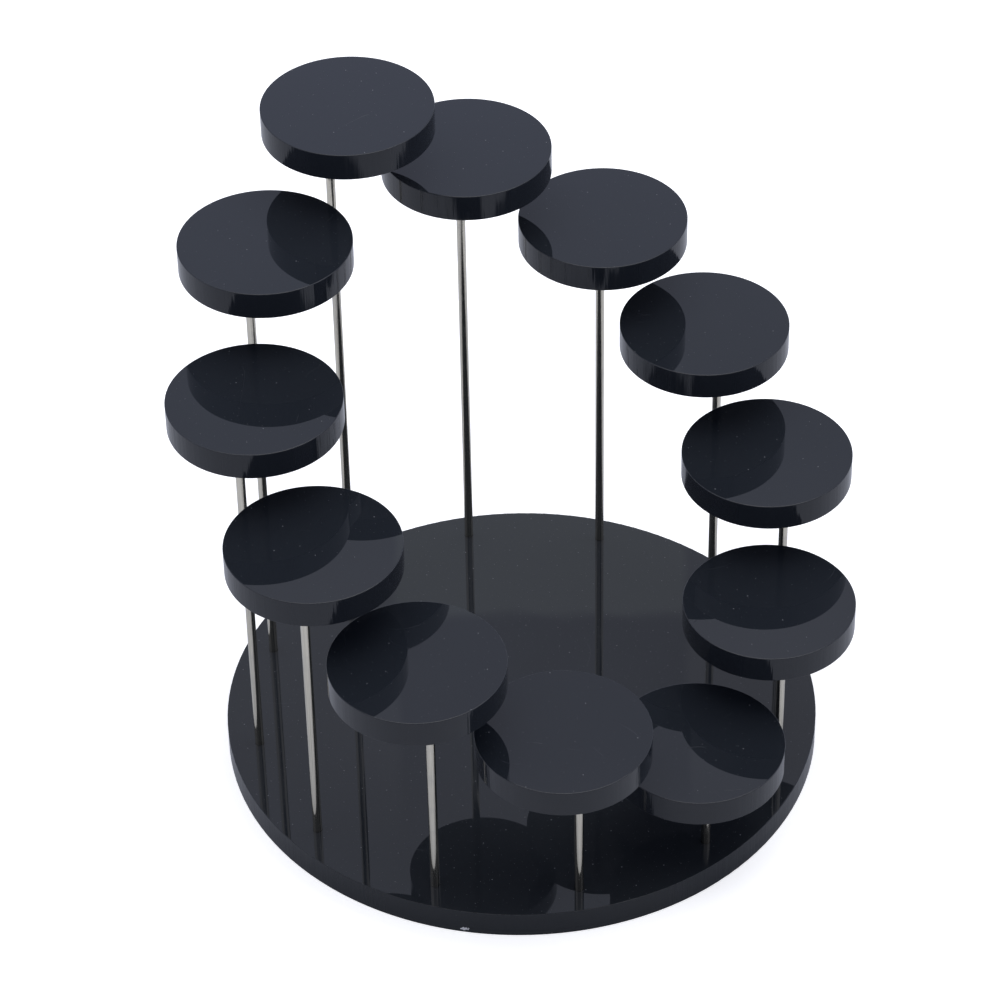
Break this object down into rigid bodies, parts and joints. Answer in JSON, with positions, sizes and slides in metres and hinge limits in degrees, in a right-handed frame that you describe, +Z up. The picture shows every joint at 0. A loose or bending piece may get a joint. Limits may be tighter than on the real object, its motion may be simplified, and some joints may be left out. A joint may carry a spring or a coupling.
{
  "type": "tiered round display stand",
  "caption": "Round base plate with a ring of upright steel rods, each carrying a small round platform, climbing in even steps from front to back for chips or small display pieces.",
  "frame": {"origin": "centre of the base plate's underside, on the surface that the stand rests on", "axes": "+Z up, along the rods; the lowest platform stands towards -Y and the highest towards +Y"},
  "size_m": [0.2382, 0.2412, 0.2225],
  "materials": {
    "acrylic": "gloss",
    "steel": "polished"
  },
  "bodies": {
    "base": {"base_plate": "acrylic"},
    "rod_01": {"rod_01": "steel"},
    "platform_01": {"platform_01": "acrylic"},
    "rod_02": {"rod_02": "steel"},
    "platform_02": {"platform_02": "acrylic"},
    "rod_03": {"rod_03": "steel"},
    "platform_03": {"platform_03": "acrylic"},
    "rod_04": {"rod_04": "steel"},
    "platform_04": {"platform_04": "acrylic"},
    "rod_05": {"rod_05": "steel"},
    "platform_05": {"platform_05": "acrylic"},
    "rod_06": {"rod_06": "steel"},
    "platform_06": {"platform_06": "acrylic"},
    "rod_07": {"rod_07": "steel"},
    "platform_07": {"platform_07": "acrylic"},
    "rod_08": {"rod_08": "steel"},
    "platform_08": {"platform_08": "acrylic"},
    "rod_09": {"rod_09": "steel"},
    "platform_09": {"platform_09": "acrylic"},
    "rod_10": {"rod_10": "steel"},
    "platform_10": {"platform_10": "acrylic"},
    "rod_11": {"rod_11": "steel"},
    "platform_11": {"platform_11": "acrylic"},
    "rod_12": {"rod_12": "steel"},
    "platform_12": {"platform_12": "acrylic"}
  },
  "joints": [
    {"name": "rod_01_lift", "type": "slide", "parent": "base", "child": "rod_01", "axis": [0, 0, 1], "range_m": [0, 0.009]},
    {"name": "platform_01_swivel", "type": "hinge", "parent": "rod_01", "child": "platform_01", "pos_m": [0, -0.096, 0.0415], "axis": [0, 0, 1], "continuous": true},
    {"name": "rod_02_lift", "type": "slide", "parent": "base", "child": "rod_02", "axis": [0, 0, 1], "range_m": [0, 0.009]},
    {"name": "platform_02_swivel", "type": "hinge", "parent": "rod_02", "child": "platform_02", "pos_m": [0.048, -0.08314, 0.07], "axis": [0, 0, 1], "continuous": true},
    {"name": "rod_03_lift", "type": "slide", "parent": "base", "child": "rod_03", "axis": [0, 0, 1], "range_m": [0, 0.009]},
    {"name": "platform_03_swivel", "type": "hinge", "parent": "rod_03", "child": "platform_03", "pos_m": [0.08314, -0.048, 0.0985], "axis": [0, 0, 1], "continuous": true},
    {"name": "rod_04_lift", "type": "slide", "parent": "base", "child": "rod_04", "axis": [0, 0, 1], "range_m": [0, 0.009]},
    {"name": "platform_04_swivel", "type": "hinge", "parent": "rod_04", "child": "platform_04", "pos_m": [0.096, 0, 0.127], "axis": [0, 0, 1], "continuous": true},
    {"name": "rod_05_lift", "type": "slide", "parent": "base", "child": "rod_05", "axis": [0, 0, 1], "range_m": [0, 0.009]},
    {"name": "platform_05_swivel", "type": "hinge", "parent": "rod_05", "child": "platform_05", "pos_m": [0.08314, 0.048, 0.1555], "axis": [0, 0, 1], "continuous": true},
    {"name": "rod_06_lift", "type": "slide", "parent": "base", "child": "rod_06", "axis": [0, 0, 1], "range_m": [0, 0.009]},
    {"name": "platform_06_swivel", "type": "hinge", "parent": "rod_06", "child": "platform_06", "pos_m": [0.048, 0.08314, 0.184], "axis": [0, 0, 1], "continuous": true},
    {"name": "rod_07_lift", "type": "slide", "parent": "base", "child": "rod_07", "axis": [0, 0, 1], "range_m": [0, 0.009]},
    {"name": "platform_07_swivel", "type": "hinge", "parent": "rod_07", "child": "platform_07", "pos_m": [0, 0.096, 0.2125], "axis": [0, 0, 1], "continuous": true},
    {"name": "rod_08_lift", "type": "slide", "parent": "base", "child": "rod_08", "axis": [0, 0, 1], "range_m": [0, 0.009]},
    {"name": "platform_08_swivel", "type": "hinge", "parent": "rod_08", "child": "platform_08", "pos_m": [-0.048, 0.08314, 0.184], "axis": [0, 0, 1], "continuous": true},
    {"name": "rod_09_lift", "type": "slide", "parent": "base", "child": "rod_09", "axis": [0, 0, 1], "range_m": [0, 0.009]},
    {"name": "platform_09_swivel", "type": "hinge", "parent": "rod_09", "child": "platform_09", "pos_m": [-0.08314, 0.048, 0.1555], "axis": [0, 0, 1], "continuous": true},
    {"name": "rod_10_lift", "type": "slide", "parent": "base", "child": "rod_10", "axis": [0, 0, 1], "range_m": [0, 0.009]},
    {"name": "platform_10_swivel", "type": "hinge", "parent": "rod_10", "child": "platform_10", "pos_m": [-0.096, 0, 0.127], "axis": [0, 0, 1], "continuous": true},
    {"name": "rod_11_lift", "type": "slide", "parent": "base", "child": "rod_11", "axis": [0, 0, 1], "range_m": [0, 0.009]},
    {"name": "platform_11_swivel", "type": "hinge", "parent": "rod_11", "child": "platform_11", "pos_m": [-0.08314, -0.048, 0.0985], "axis": [0, 0, 1], "continuous": true},
    {"name": "rod_12_lift", "type": "slide", "parent": "base", "child": "rod_12", "axis": [0, 0, 1], "range_m": [0, 0.009]},
    {"name": "platform_12_swivel", "type": "hinge", "parent": "rod_12", "child": "platform_12", "pos_m": [-0.048, -0.08314, 0.07], "axis": [0, 0, 1], "continuous": true}
  ]
}
